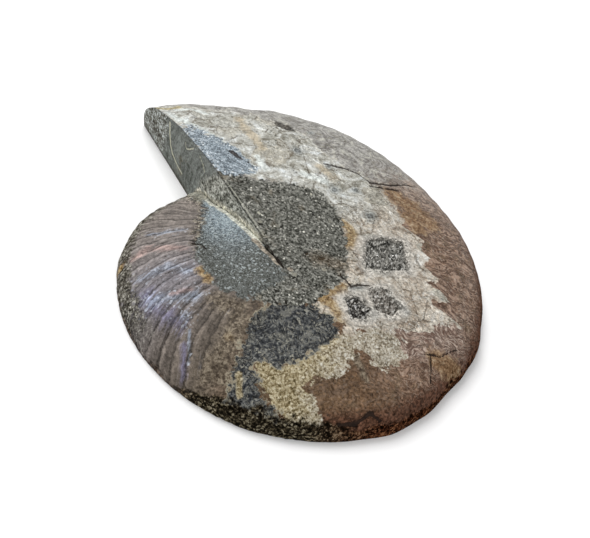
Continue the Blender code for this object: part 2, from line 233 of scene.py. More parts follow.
RIM_SAMPLES = 3000
SAMPLE_ANGLES = np.linspace(NOTCH, TIP, RIM_SAMPLES)
SAMPLE_RIM = rim_points(SAMPLE_ANGLES)
ORIGIN = (SAMPLE_RIM.min(axis=0) + SAMPLE_RIM.max(axis=0)) / 2


def height_at(plan):
    """Height of the smooth flank over plan points."""
    rim = SAMPLE_RIM - HUB
    bearings = np.unwrap(np.arctan2(rim[:, 1], rim[:, 0]))
    offset = plan - HUB
    bearing = np.arctan2(offset[:, 1], offset[:, 0])
    bearing = bearing + np.ceil((bearings[0] - bearing) / TAU) * TAU
    hub_distance = np.hypot(offset[:, 0], offset[:, 1])
    inward = np.interp(bearing, bearings, np.hypot(rim[:, 0], rim[:, 1])) - hub_distance
    return flank_height(np.interp(bearing, bearings, outline_radius(SAMPLE_ANGLES)), inward, hub_distance)


# ---------------------------------------------------------------- fields over the surface
FAR = 99.0  # a distance too great to matter, in mm or half widths
HASH_FACTORS = (73856093, 19349663, 83492791, 40503)
HASH_MIXERS = (1274126177, 2246822519)


def lattice(x, y, z, seed):
    """A repeatable value from -1 to 1 at each whole-number point."""
    n = 0
    for value, factor in zip((x, y, z, seed), HASH_FACTORS):
        n = n ^ (value * factor)
    n = (n ^ (n >> 13)) * HASH_MIXERS[0] & 0xFFFFFFFF
    n = (n ^ (n >> 15)) * HASH_MIXERS[1] & 0xFFFFFFFF
    return ((n ^ (n >> 16)) & 0xFFFF) / 32767.5 - 1


def cloud(points, size, seed=0, octaves=1):
    """Smooth value noise from about -1 to 1, with features of a size in mm."""
    total = np.zeros(points.shape[:-1])
    weight = 1.0
    for octave in range(octaves):
        scaled = points * (2 ** octave / size)
        cell = np.floor(scaled).astype(np.int64)
        t = scaled - cell
        t = t * t * (3 - 2 * t)
        for corner in range(8):
            dx, dy, dz = corner & 1, corner >> 1 & 1, corner >> 2 & 1
            share = np.abs(1 - dx - t[..., 0]) * np.abs(1 - dy - t[..., 1]) * np.abs(1 - dz - t[..., 2])
            value = lattice(cell[..., 0] + dx, cell[..., 1] + dy, cell[..., 2] + dz, seed + octave)
            total += weight * share * value
        weight *= 0.5
    return total


def segment_distance(x, y, a, b):
    reach = (b[0] - a[0]) ** 2 + (b[1] - a[1]) ** 2 or 1.0
    along = np.clip(((x - a[0]) * (b[0] - a[0]) + (y - a[1]) * (b[1] - a[1])) / reach, 0, 1)
    return np.hypot(x - a[0] - along * (b[0] - a[0]), y - a[1] - along * (b[1] - a[1]))


def line_distance(x, y, lines):
    """How far outside the nearest of several drawn lines a point is, in half widths."""
    nearest = np.full(np.shape(x), FAR)
    for points, half_width in lines:
        for a, b in zip(points, points[1:] or points):
            nearest = np.minimum(nearest, segment_distance(x, y, a, b) / half_width)
    return nearest


def inside(x, y, outline):
    """Signed distance to a closed outline, positive inside."""
    nearest = np.full(x.shape, np.inf)
    within = np.zeros(x.shape, dtype=bool)
    for a, b in zip(outline, outline[1:] + outline[:1]):
        nearest = np.minimum(nearest, segment_distance(x, y, a, b))
        rise = b[1] - a[1] or 1.0
        within ^= ((a[1] > y) != (b[1] > y)) & (x < a[0] + (y - a[1]) / rise * (b[0] - a[0]))
    return np.where(within, nearest, -nearest)


def coil_fields(points, angles):
    """Angle (degrees), share of the outline's radius and rib number of surface points."""
    polar = np.arctan2(points[:, 1], points[:, 0])
    polar = polar + np.round((angles - polar) / TAU) * TAU
    share = np.clip(np.hypot(points[:, 0], points[:, 1]) / outline_radius(polar), 0, 1)
    degrees = np.degrees(polar)
    rib = (degrees - RIB_LEAN * share ** RIB_LEAN_POWER) / RIB_SPACING
    return degrees, share, rib


def ribbed_share(degrees):
    return smooth((degrees - RIB_START) / RIB_FADE) * smooth((RIB_END - degrees) / RIB_FADE)


def pocket_field(x, y):
    return np.max([inside(x, y, outline) for outline, _ in POCKETS.values()], axis=0)


def pit_depth(points):
    """Depth of the open pits, with ragged edges."""
    x, y = points[:, 0], points[:, 1]
    ragged = 0.3 * cloud(points, 2.2, seed=11, octaves=2)
    sunk = np.zeros(len(points))
    for place, length, width, depth, turn in PITS:
        c, s = math.cos(math.radians(turn)), math.sin(math.radians(turn))
        along = ((x - place[0]) * c + (y - place[1]) * s) / (length / 2)
        across = ((y - place[1]) * c - (x - place[0]) * s) / (width / 2)
        sunk = np.maximum(sunk, depth * np.sqrt(np.clip(1 - along ** 2 - across ** 2 + ragged, 0, 1)))
    return sunk


def relief(points, angles):
    """Height of the surface detail above the smooth flank."""
    x, y = points[:, 0], points[:, 1]
    degrees, share, rib = coil_fields(points, angles)
    wander = cloud(points, 5, seed=3) * 0.16
    wave = 0.5 + 0.5 * np.cos(TAU * (rib + wander))
    on_flank = smooth((share - 0.42) / 0.16) * smooth((1.0 - share) / 0.04)
    ribs = FAINT_RIB_HEIGHT + (RIB_HEIGHT - FAINT_RIB_HEIGHT) * ribbed_share(degrees)
    height = ribs * wave ** 1.3 * on_flank
    height += 0.3 * cloud(points, 17, seed=5) + 0.05 * cloud(points, 4, seed=6, octaves=2)
    centre, half_width, depth = CHIP
    chipped = 1 - smooth(np.abs(degrees - centre) / half_width)
    height -= depth * chipped * smooth((share - CHIP_SHARE) / (1 - CHIP_SHARE))
    ragged = 0.9 * cloud(points, 3.2, seed=7, octaves=3)
    matrix = inside(x, y, PATCHES["matrix"]) + ragged
    dark = inside(x, y, PATCHES["dark"]) + ragged
    tan = inside(x, y, PATCHES["tan"]) + ragged
    height -= MATRIX_LEDGE * smooth(0.5 + matrix / 0.8) + DARK_LEDGE * smooth(0.5 + dark / 0.8)
    height += 0.06 * smooth(matrix) * cloud(points, 0.9, seed=8)
    height += (0.14 * cloud(points, 1.1, seed=9) - 0.1) * smooth(0.5 + tan)
    weathered = smooth((share - 0.93) / 0.05) * smooth((-60 - degrees) / 20)
    height += 0.12 * weathered * cloud(points, 1.4, seed=10)
    height -= pit_depth(points)
    off_crack = line_distance(x + ragged * 0.3, y + ragged * 0.3, CRACKS)
    height -= CRACK_DEPTH * smooth(1.4 - off_crack * 0.7)
    return height


# ---------------------------------------------------------------- mesh of the fossil
FLANK, WALL, SAWN = range(3)  # kinds of face, in the order of their materials
COLUMNS = 720  # round the outline, in steps of equal length
ROW_BANDS = ((92, 1), (34, 2), (34, 4))  # rows from the rim inwards, and how many columns each merges
BAND_ENDS = (0.58, 0.79, 1.0)  # share of the way up the section where each band ends
SECTION_STEPS = 600
SECTION_STEP_POWER = 2.5  # steps closer together near the rim, where the section is steep
WALL_STEP = 0.6
SAWN_STEP = 9.0
NEAR_HUB = -9  # a row of the columns where the surface is nearly level
UPWARD = (0, 0, 1)
TIP_FADE = 9.0  # how far behind the wall its undercut still draws the flank in


def column_angles():
    steps = np.hypot(*np.diff(SAMPLE_RIM, axis=0).T)
    travelled = np.concatenate([[0], np.cumsum(steps)])
    return np.interp(np.linspace(0, travelled[-1], COLUMNS + 1), travelled, SAMPLE_ANGLES)


def smooth_columns(angles):
    """One column of points for each angle, evenly spaced over the section, from the rim to the hub."""
    shares = np.concatenate([[0]] + [
        np.linspace(start, end, rows + 1)[1:]
        for start, end, (rows, _) in zip((0,) + BAND_ENDS, BAND_ENDS, ROW_BANDS)
    ])
    radius = outline_radius(angles)
    rim = rim_points(angles)
    to_hub = HUB - rim
    reach = np.hypot(to_hub[:, 0], to_hub[:, 1])
    steps = np.linspace(0, 1, SECTION_STEPS) ** SECTION_STEP_POWER
    columns = np.empty((len(angles), len(shares), 3))
    for i in range(len(angles)):
        inward = steps * reach[i]
        height = flank_height(radius[i], inward, reach[i] - inward)
        length = np.concatenate([[0], np.cumsum(np.hypot(np.diff(inward), np.diff(height)))])
        at = np.interp(shares * length[-1], length, inward)
        columns[i, :, :2] = rim[i] + to_hub[i] / reach[i] * at[:, None]
        columns[i, :, 2] = np.interp(at, inward, height)
    return columns


def undercut(hub_distance, height):
    notch_reach = np.hypot(*(rim_points(NOTCH) - HUB))
    tip_reach = np.hypot(*(rim_points(TIP) - HUB))
    outward = np.clip((hub_distance - notch_reach) / (tip_reach - notch_reach), 0, 1)
    return WALL_UNDERCUT * outward * np.clip(1 - height / WALL_UNDERCUT_HEIGHT, 0, 1)


def carved_columns(angles):
    """The columns with their relief, the cut plane kept plane and the sawn edge kept flat."""
    columns = smooth_columns(angles)
    along = np.gradient(columns, axis=0)
    inward = np.gradient(columns, axis=1)
    normal = np.cross(inward, along)
    normal[:, -1] = UPWARD
    normal /= np.linalg.norm(normal, axis=2, keepdims=True)
    normal *= np.sign(np.median(normal[:, NEAR_HUB, 2]))
    normal[:, -1] = UPWARD
    for edge in (0, -1):
        off_plane = normal[edge, :, :2] @ CUT_NORMAL
        normal[edge, :, :2] -= off_plane[:, None] * CUT_NORMAL
    normal[:, 0, 2] = 0
    height = relief(columns.reshape(-1, 3), np.repeat(angles, columns.shape[1]))
    height = height.reshape(columns.shape[:2])
    height[:, -1] = height[:, -1].mean()
    carved = columns + normal * height[..., None]
    sunk = pocket_depth(columns.reshape(-1, 3)).reshape(columns.shape[:2])
    carved[..., 2] -= sunk
    near_tip = slice(-len(angles) // 6, None)
    offset = carved[near_tip, :, :2] - HUB
    spread = smooth(1 - offset @ CUT_NORMAL / TIP_FADE)
    set_back = undercut(np.hypot(offset[..., 0], offset[..., 1]), carved[near_tip, :, 2]) * spread
    carved[near_tip, :, :2] += set_back[..., None] * CUT_NORMAL
    return carved


def pocket_depth(points):
    x, y = points[:, 0], points[:, 1]
    ragged = 0.35 * cloud(points, 1.6, seed=12)
    sunk = np.zeros(len(points))
    for outline, depth in POCKETS.values():
        sunk = np.maximum(sunk, depth * smooth((inside(x, y, outline) + ragged * 0.5 + 0.25) / 0.6))
    return sunk


def filled(border, inner):
    """Triangles over a closed border and points inside it, both as 2-D points."""
    points = [Vector(p) for p in border] + [Vector(p) for p in inner]
    loop = list(range(len(border)))
    edges = list(zip(loop, loop[1:] + loop[:1]))
    _, _, faces, originals, *_ = geometry.delaunay_2d_cdt(points, edges, [], 1, 1e-6)
    renamed = [source[0] for source in originals]
    return [[renamed[i] for i in face] for face in faces]


def grid_inside(outline, step, clearance):
    """Points of a slightly uneven grid, clear of a closed outline."""
    low, high = np.min(outline, axis=0), np.max(outline, axis=0)
    x, y = np.meshgrid(np.arange(low[0], high[0], step), np.arange(low[1], high[1], step))
    points = np.stack([x.ravel(), y.ravel()], axis=1)
    points[:, 0] += (np.round(points[:, 1] / step) % 2) * step / 2
    rng = np.random.default_rng(4)
    points += rng.uniform(-0.12, 0.12, points.shape) * step
    keep = inside(points[:, 0], points[:, 1], [tuple(p) for p in outline]) > clearance
    return points[keep]


def build_fossil():
    angles = column_angles()
    columns = carved_columns(angles)
    rows = columns.shape[1]
    merge = np.concatenate([[1]] + [[every] * count for count, every in ROW_BANDS])
    hub = len(angles) * rows
    index = np.arange(hub).reshape(len(angles), rows)
    faces = []
    for row in range(rows - 2):
        step, inner = merge[row], merge[row + 1]
        for i in range(0, COLUMNS, inner):
            a, b = index[i, row], index[i + inner, row]
            c, d = index[i + inner, row + 1], index[i, row + 1]
            if step == inner:
                faces.append((a, b, c, d))
            else:
                middle = index[i + step, row]
                faces += [(a, middle, d), (middle, c, d), (middle, b, c)]
    step = merge[-1]
    faces += [(index[i, rows - 2], index[i + step, rows - 2], hub) for i in range(0, COLUMNS, step)]
    flank_faces = len(faces)

    points = np.concatenate([columns.reshape(-1, 3), [columns[0, -1]]])
    merged_rows = range(rows - 1)
    lower = [hub] + [index[0, row] for row in reversed(merged_rows)]
    upper = [index[-1, row] for row in merged_rows]
    foot_start, foot_end = points[index[0, 0]], points[index[-1, 0]]
    foot_steps = round(np.linalg.norm(foot_end - foot_start) / WALL_STEP)
    foot = foot_start + (foot_end - foot_start) * (np.arange(1, foot_steps) / foot_steps)[:, None]
    foot_index = list(range(len(points), len(points) + len(foot)))
    points = np.concatenate([points, foot])

    border = lower + foot_index + upper
    flat = [(np.hypot(*(points[i, :2] - HUB)), points[i, 2]) for i in border]
    inner = grid_inside(flat, WALL_STEP, WALL_STEP * 0.55)
    start = len(points)
    plan = HUB - CUT_ALONG * inner[:, :1]
    broken = np.stack([inner[:, 0], inner[:, 1], np.zeros(len(inner))], axis=1)
    facets = 0.35 * cloud(broken, 9, seed=21) + 0.12 * cloud(broken, 2.5, seed=22, octaves=2)
    edge_fade = smooth(inside(inner[:, 0], inner[:, 1], flat) / 1.5)
    set_back = undercut(inner[:, 0], inner[:, 1]) + facets * edge_fade
    wall_points = np.concatenate([plan + set_back[:, None] * CUT_NORMAL, inner[:, 1:]], axis=1)
    points = np.concatenate([points, wall_points])
    order = border + list(range(start, len(points)))
    faces += [tuple(order[i] for i in face) for face in filled(flat, inner)]
    wall_faces = len(faces)

    border = [index[i, 0] for i in range(COLUMNS + 1)] + foot_index[::-1]
    flat = [tuple(points[i, :2]) for i in border]
    inner = grid_inside(flat, SAWN_STEP, SAWN_STEP * 0.4)
    start = len(points)
    points = np.concatenate([points, np.column_stack([inner, np.zeros(len(inner))])])
    order = border + list(range(start, len(points)))
    faces += [tuple(order[i] for i in reversed(face)) for face in filled(flat, inner)]

    kinds = np.full(len(faces), FLANK, dtype=np.int32)
    kinds[flank_faces:wall_faces] = WALL
    kinds[wall_faces:] = SAWN
    return points, faces, kinds, angles, rows


def add_to_scene(name, data):
    made = bpy.data.objects.new(name, data)
    bpy.context.scene.collection.objects.link(made)
    return made


def make_mesh(name, points, faces):
    """A mesh object in metres, in the frame of the solids, with unused points left out."""
    used = np.unique(np.concatenate([np.array(face) for face in faces]))
    renamed = np.zeros(len(points), dtype=np.int64)
    renamed[used] = np.arange(len(used))
    kept = points[used]
    shifted = kept - np.array([ORIGIN[0], ORIGIN[1], 0])
    data = bpy.data.meshes.new(name)
    data.from_pydata((shifted * MM).tolist(), [], [[int(renamed[i]) for i in face] for face in faces])
    made = add_to_scene(name, data)
    data.validate()
    return made, used


def add_field(made, name, values):
    """Store one number, or three, at each vertex for the material to read."""
    values = np.asarray(values, dtype=np.float32)
    kind = "FLOAT" if values.ndim == 1 else "FLOAT_VECTOR"
    field = made.data.attributes.new(name, kind, "POINT")
    field.data.foreach_set("value" if values.ndim == 1 else "vector", values.ravel())


def linear(colour):
    """Colour out of 255 as the shader takes it."""
    c = np.asarray(colour, dtype=float) / 255
    return np.where(c <= 0.04045, c / 12.92, ((c + 0.055) / 1.055) ** 2.4)


def add_fields(made, used, points, angles, rows):
    """Everything that the flank's and the wall's materials read."""
    kept = points[used]
    own_angle = np.concatenate([np.repeat(angles, rows), np.full(len(points) - len(angles) * rows, TIP)])
    degrees, share, rib = coil_fields(kept, own_angle[used])
    x, y = kept[:, 0], kept[:, 1]
    add_field(made, "coil", np.stack([degrees, share * 100, rib], axis=1))
    stops = [angle for angle, _ in FLANK_TINTS]
    tints = linear([colour for _, colour in FLANK_TINTS])
    add_field(made, "tint", np.stack([np.interp(degrees, stops, tints[:, c]) for c in range(3)], axis=1))
    for name, outline in PATCHES.items():
        add_field(made, name, inside(x, y, outline))
    for name, marks in STAINS.items():
        add_field(made, name, 1 - line_distance(x, y, marks))
    add_field(made, "pit", pit_depth(kept))
    add_field(made, "pocket", pocket_field(x, y))
    add_field(made, "crack", line_distance(x, y, CRACKS))
    add_field(made, "ribbed", ribbed_share(degrees) * smooth((share - 0.4) / 0.15))
    hub_distance = np.hypot(x - HUB[0], y - HUB[1])
    off_cut = (kept[:, :2] - HUB) @ CUT_NORMAL
    ahead = (kept[:, :2] - HUB) @ -CUT_ALONG > 0
    add_field(made, "seam", np.where(ahead & (degrees < -120), np.abs(off_cut), FAR))
    add_field(made, "brow", np.where(ahead & (degrees > 20), np.abs(off_cut), FAR))
    add_field(made, "wall", np.stack([hub_distance, kept[:, 2], off_cut], axis=1))
    add_field(made, "wall_line", line_distance(hub_distance, kept[:, 2], WALL_LINES))
    add_field(made, "foot", kept[:, 2] - height_at(kept[:, :2] - CUT_NORMAL * FOOT_OFFSET))


# ---------------------------------------------------------------- materials
class Signal:
    """A value on its way through a material, with ordinary arithmetic."""

    def __init__(self, recipe, socket):
        self.recipe = recipe
        self.socket = socket

    def __add__(self, other):
        return self.recipe.math("ADD", self, other)

    def __sub__(self, other):
        return self.recipe.math("SUBTRACT", self, other)

    def __rsub__(self, other):
        return self.recipe.math("SUBTRACT", other, self)

    def __mul__(self, other):
        return self.recipe.math("MULTIPLY", self, other)

    def __truediv__(self, other):
        return self.recipe.math("DIVIDE", self, other)

    __radd__ = __add__
    __rmul__ = __mul__


class Recipe:
    """Short names for the shader nodes that the materials share."""

    def __init__(self, name):
        self.material = bpy.data.materials.new(name)
        self.material.use_nodes = True
        self.tree = self.material.node_tree
        self.place = self.scaled(self.signal("ShaderNodeTexCoord", {}, "Object"), 1 / MM)

    def connect(self, socket, value):
        """Give a socket a signal, a number or a colour out of 255."""
        if isinstance(value, Signal):
            self.tree.links.new(value.socket, socket)
        elif isinstance(value, tuple):
            socket.default_value = (*linear(value), 1)[:len(socket.default_value)]
        else:
            socket.default_value = value

    def node(self, kind, inputs, **settings):
        made = self.tree.nodes.new(kind)
        for key, value in settings.items():
            setattr(made, key, value)
        for key, value in inputs.items():
            self.connect(made.inputs[key], value)
        return made

    def signal(self, kind, inputs, output=0, **settings):
        return Signal(self, self.node(kind, inputs, **settings).outputs[output])

    def field(self, name, vector=False):
        return self.signal("ShaderNodeAttribute", {}, "Vector" if vector else "Fac", attribute_name=name)

    def parts(self, vector):
        return [Signal(self, part) for part in self.node("ShaderNodeSeparateXYZ", {0: vector}).outputs]

    def scaled(self, vector, times):
        return self.signal("ShaderNodeVectorMath", {0: vector, "Scale": times}, operation="SCALE")

    def joined(self, x, y, z=0.0):
        return self.signal("ShaderNodeCombineXYZ", {0: x, 1: y, 2: z})

    def math(self, operation, a, b=0.0):
        return self.signal("ShaderNodeMath", {0: a, 1: b}, operation=operation)

    def noise(self, vector, size, detail=2.0, distortion=0.0, roughness=0.5):
        """Noise centred on 0, seldom past -0.3 or 0.3."""
        inputs = {
            "Vector": vector, "Scale": 1 / size, "Detail": detail, "Roughness": roughness,
            "Distortion": distortion,
        }
        return self.signal("ShaderNodeTexNoise", inputs) - 0.5

    def cells(self, vector, size, output="Distance", feature="F1"):
        inputs = {"Vector": vector, "Scale": 1 / size}
        return self.signal("ShaderNodeTexVoronoi", inputs, output, feature=feature)

    def rise(self, value, low, high):
        """0 at low, 1 at high, smooth between."""
        inputs = {"Value": value, "From Min": low, "From Max": high}
        return self.signal("ShaderNodeMapRange", inputs, interpolation_type="SMOOTHSTEP")

    def line(self, value, centre, half_width):
        """1 where a value is at the centre, falling to 0 at the half width."""
        return self.rise(self.math("ABSOLUTE", value - centre), half_width, 0.0)

    def mix(self, share, a, b):
        return self.signal("ShaderNodeMix", {0: share, 6: a, 7: b}, 2, data_type="RGBA")

    def lit(self, colour, change):
        """A colour made lighter or darker by a share of its brightness to the eye."""
        brightness = self.math("POWER", self.math("MAXIMUM", change + 1.0, 0.1), 2.2)
        return self.scaled(colour, brightness)

    def tones(self, value, *stops):
        """Colour from a value, through stops of position, red, green and blue."""
        made = self.node("ShaderNodeValToRGB", {0: value})
        elements = made.color_ramp.elements
        while len(elements) < len(stops):
            elements.new(0.5)
        for element, (position, *colour) in zip(elements, stops):
            element.position = position
            element.color = (*linear(colour), 1)
        return Signal(self, made.outputs[0])

    def finish(self, colour, height, bump, roughness, refraction=1.17, gloss=0.5):
        raised = {"Height": height, "Strength": 1.0, "Distance": bump * MM}
        values = {
            "Base Color": colour, "Roughness": roughness, "Specular IOR Level": gloss, "IOR": refraction,
            "Normal": self.signal("ShaderNodeBump", raised),
        }
        for name, value in values.items():
            self.connect(self.tree.nodes["Principled BSDF"].inputs[name], value)
        return self.material


class Stone(Recipe):
    """A recipe with the grain that all the faces of the fossil share."""

    def __init__(self, name):
        super().__init__(name)
        self.coarse = self.noise(self.place, 9, 3)
        self.medium = self.noise(self.place, 2.6, 4, roughness=0.6)
        self.fine = self.noise(self.place, 0.95, 3, roughness=0.75)
        self.dust = self.noise(self.place, 0.45, 3, roughness=0.8)
        self.coil = self.parts(self.field("coil", vector=True))
        self.wall = self.parts(self.field("wall", vector=True))
        cell = self.parts(self.cells(self.place, 0.62, "Color"))
        self.grit = cell[0] - 0.5
        self.sparks = self.rise(cell[1], 0.9, 0.95)
        self.specks = self.rise(cell[2], 0.9, 0.95)
        self.grain = self.fine * 1.7 + self.grit * 0.42
        self.ragged = self.medium * 7.0 + self.fine * 2.5
        bend = self.signal("ShaderNodeTexNoise", {"Vector": self.place, "Scale": 1.2, "Detail": 2.0}, "Color")
        self.bent = self.signal("ShaderNodeVectorMath", {0: self.place, 1: self.scaled(bend, 1.1)})

    def clasts(self, base, size, light, light_share, dark, dark_share):
        """Angular light and dark grains scattered over a base colour."""
        picked = self.parts(self.cells(self.bent, size, "Color"))
        body = self.rise(self.cells(self.bent, size, "Distance", "DISTANCE_TO_EDGE"), 0.03, 0.1)
        bright = body * self.rise(picked[0], 1 - light_share, 1 - light_share * 0.8)
        deep = body * self.rise(picked[1], 1 - dark_share, 1 - dark_share * 0.8)
        base = self.mix(bright, base, self.lit(light, (picked[2] - 0.6) * 0.5))
        return self.mix(deep, base, dark)

    def contours(self, size, lines):
        """Fine wandering lines side by side, as in agate, from -1 to 1."""
        return self.math("SINE", self.noise(self.place, size, 2, 1.0) * lines)

    def blot(self, name, softness=0.35):
        """Share of a stain, with ragged edges."""
        return self.rise(self.field(name) + self.ragged * 0.22, 0.0, softness)

    def patch(self, name, softness=0.3, reach=1.0):
        """Share of a patch, with ragged edges, and how far inside it a point is."""
        edge = self.field(name) + self.ragged * reach
        return self.rise(edge, -softness, softness), edge

    def sutures(self):
        """Place along and across the long fingers of the sutures on the right flank."""
        x, y, z = self.parts(self.place)
        c, s = math.cos(SUTURE_TURN), math.sin(SUTURE_TURN)
        along = x * c + y * s
        across = x * -s + y * c
        return along, across, z

    def teeth(self, spacing):
        """Pointed fingers side by side, from -0.5 to 0.5."""
        _, across, _ = self.sutures()
        wave = self.math("PINGPONG", across * (2 / spacing) + self.medium * 1.2, 1.0)
        return wave - 0.5


def ribbed_shell(s):
    """Shell with streaks that follow the ribs, painted highlights on their crests and painted shade in their
    grooves, and the thin colours of old nacre.
    """
    degrees, share, rib = s.coil
    ribbed = s.field("ribbed")
    plain = 1.0 - ribbed
    on_right = s.rise(degrees, -105.0, -60.0) * s.rise(degrees, 80.0, 50.0)
    strong = on_right * (0.3 + s.rise(degrees, -50.0, -25.0) * 0.7)
    warp = s.medium * 0.25
    streak = s.noise(s.joined((rib + warp) * 2.2, share * 0.05), 1.0, 4, roughness=0.68)
    hair = s.noise(s.joined((rib + warp) * 8.0, share * 0.1, 1.7), 1.0, 3, roughness=0.7)
    # Painted highlight on the crest of each rib and painted shade in its groove, as lighter and darker
    # stripes of colour
    phase = s.math("FRACT", rib + s.medium * 0.5 + streak * 0.6)
    groove = s.line(phase - 0.5, 0.0, 0.14)
    crest = s.line(phase - 0.5, 0.28, 0.25)
    stripes = streak * 0.7 + hair * 0.5 - groove * 0.24 + crest * 0.16
    graininess = 0.42 + plain * 0.45 - strong * 0.2
    relief = stripes * ribbed + s.grain * graininess + s.medium * 0.45 + s.coarse * 0.35
    relief = relief - strong * 0.04 - ribbed * 0.025
    colour = s.lit(s.field("tint", vector=True), relief)
    play = streak * 1.9 + hair * 1.5 + s.ragged * 0.08
    for name, hue, strength in (
        ("violet", (112, 110, 140), 0.6), ("azure", (142, 152, 168), 0.65), ("pink", (168, 141, 134), 0.65),
    ):
        spread = s.rise(s.field(name) * 0.8 + play, 0.0, 1.0)
        colour = s.mix(spread * strength, colour, s.lit(hue, relief * 1.2))
    # Light streaks along the ribs are partly the nacre's own lustre and partly painted highlight; the dark
    # streaks are painted shade between the ribs
    bright = s.rise(streak + hair * 0.7, 0.13, 0.28) * ribbed
    colour = s.mix(bright * 0.5, colour, (186, 186, 192))
    deep = s.rise(streak + hair * 0.8 + s.fine * 0.5, -0.14, -0.3) * ribbed
    colour = s.mix(deep * 0.6, colour, (62, 55, 50))
    glints = s.rise(s.field("azure"), -1.2, 0.4) * (s.sparks + bright * 0.3)
    colour = s.mix(glints * 0.5, colour, (206, 212, 222))

    # Fine wrinkles of the right flank, light ridges and dark furrows
    along, across, z = s.sutures()
    bent_across = across + s.coarse * 14.0 + s.medium * 2.0
    wrinkle = s.noise(s.joined(along * 0.1, bent_across * 0.62, z * 0.2), 1.0, 1.5, 0.3, 0.5)
    wrinkle = wrinkle + s.fine * 0.12
    ridge = (s.line(wrinkle, 0.05, 0.05) + s.line(wrinkle, -0.11, 0.05)) * strong
    furrow = (s.line(wrinkle, 0.14, 0.05) + s.line(wrinkle, -0.03, 0.045)) * strong
    colour = s.mix(ridge * 0.6, colour, (180, 155, 138))
    colour = s.mix(furrow * 0.65, colour, (70, 46, 37))
    colour = s.mix(s.sparks * strong * 0.35, colour, (196, 180, 164))
    blotch = s.rise(s.noise(s.place, 5, 3), 0.05, 0.2) * on_right
    colour = s.mix(blotch * 0.4, colour, s.lit((104, 90, 70), s.grain * 0.8))
    # Darker red-brown towards the rim of the right flank: partly the shell's own colour, partly painted shade
    # where the flank curves away from the light
    edge = s.rise(share + s.ragged * 0.6, 91.0, 98.0) * s.rise(degrees, 66.0, 36.0) * on_right
    colour = s.mix(edge * 0.85, colour, s.lit((84, 57, 45), s.grain * 1.1))

    # Long narrow fingers of the sutures, outlined in light shell
    pale = s.rise(s.field("pale") + s.ragged * 0.16, -0.5, 0.6)
    colour = s.mix(pale * 0.6, colour, s.lit((144, 126, 115), s.grain * 0.5 + s.medium))
    finger = s.noise(s.joined(along * 0.12, bent_across * 0.5, 7.0), 1.0, 1.5)
    wave = s.math("SINE", (finger + s.fine * 0.06) * 46.0)
    colour = s.mix(s.rise(wave, 0.5, 0.95) * pale * 0.75, colour, (202, 184, 171))
    colour = s.mix(s.rise(wave, -0.5, -0.95) * pale * 0.75, colour, (92, 68, 58))

    # Cloudy swirls of the top edge
    swirl = s.noise(s.place, 6, 5, 1.4, 0.6)
    cloudy = s.tones(
        swirl + s.grain * 0.12 + 0.5, (0.22, 104, 101, 88), (0.36, 136, 133, 122), (0.46, 148, 145, 141),
        (0.54, 158, 156, 151), (0.64, 170, 168, 158), (0.8, 192, 190, 180),
    )
    swirls = s.contours(9, 38.0)
    cloudy = s.lit(cloudy, s.grain * 0.34 + swirls * 0.08 + s.medium * 0.25 - 0.04)
    cloudy = s.mix(s.rise(swirls, -0.7, -0.98) * 0.6, cloudy, (98, 92, 86))
    on_top = s.rise(degrees + s.ragged * 5.0, 52.0, 72.0)
    colour = s.mix(on_top * 0.9, colour, cloudy)
    height = stripes * ribbed * 0.8 + ridge * 0.25 - furrow * 0.35 + s.grain * 0.35
    return colour, height


def side_crust(s, colour):
    """Speckled olive crust on the side of the ribs."""
    degrees, share, rib = s.coil
    side = s.rise(share, 88.0, 94.0) * s.rise(degrees, -118.0, -140.0)
    side = side * s.rise(s.ragged * 0.3 + s.line(share, 98.0, 7.0) * 0.5, -0.1, 0.4)
    dash = s.noise(s.joined(rib * 4.0, share * 0.35, 5.0), 1.0, 3, 0.5, 0.7)
    spotted = s.tones(
        s.grain * 0.9 + dash * 1.2 + 0.5, (0.2, 22, 21, 15), (0.4, 64, 61, 51), (0.54, 98, 94, 83),
        (0.7, 138, 135, 125), (0.85, 188, 186, 175),
    )
    return s.mix(side * 0.9, colour, spotted)


def worn_and_shaded_foot(s, colour):
    """Dark weathering and painted shade along the foot of the flank, redder towards the right."""
    degrees = s.coil[0]
    _, _, z = s.parts(s.place)
    left = s.rise(degrees, -100.0, -115.0)
    front = s.rise(degrees, -180.0, -150.0) * s.rise(degrees, 75.0, 35.0) * (1.0 - left * 0.45)
    top = 1.2 + s.rise(degrees, -112.0, -92.0) * 4.2 + s.line(degrees, -80.0, 30.0) * 2.0
    low = s.rise(z + s.coarse * 9.0 + s.ragged * 1.2 - top, 1.2, -1.0)
    dark = s.tones(
        s.grain * 1.3 + s.medium + 0.48, (0.2, 12, 10, 6), (0.45, 36, 31, 24), (0.6, 70, 62, 48),
        (0.74, 98, 90, 70), (0.88, 150, 142, 122),
    )
    red = s.tones(
        s.grain * 1.2 + s.medium + 0.48, (0.2, 12, 6, 3), (0.45, 42, 23, 14), (0.62, 84, 49, 31),
        (0.85, 136, 96, 68),
    )
    reddish = s.math("MAXIMUM", s.rise(degrees, -72.0, -45.0), left * 0.6)
    # Painted shade with the weathered colour: the low front of the flank, which faces away from the light,
    # goes dark
    colour = s.mix(low * front, colour, s.mix(reddish, dark, red))
    back = s.rise(degrees, 45.0, 80.0) * s.rise(z + s.coarse * 14.0 + s.ragged * 1.4, 7.0, 2.0)
    dull = s.tones(
        s.grain * 0.9 + s.medium * 0.8 + s.coarse * 0.6 + 0.5, (0.2, 60, 54, 44), (0.42, 98, 90, 76),
        (0.58, 126, 118, 102), (0.8, 168, 162, 146),
    )
    return s.mix(back * 0.8, colour, dull)


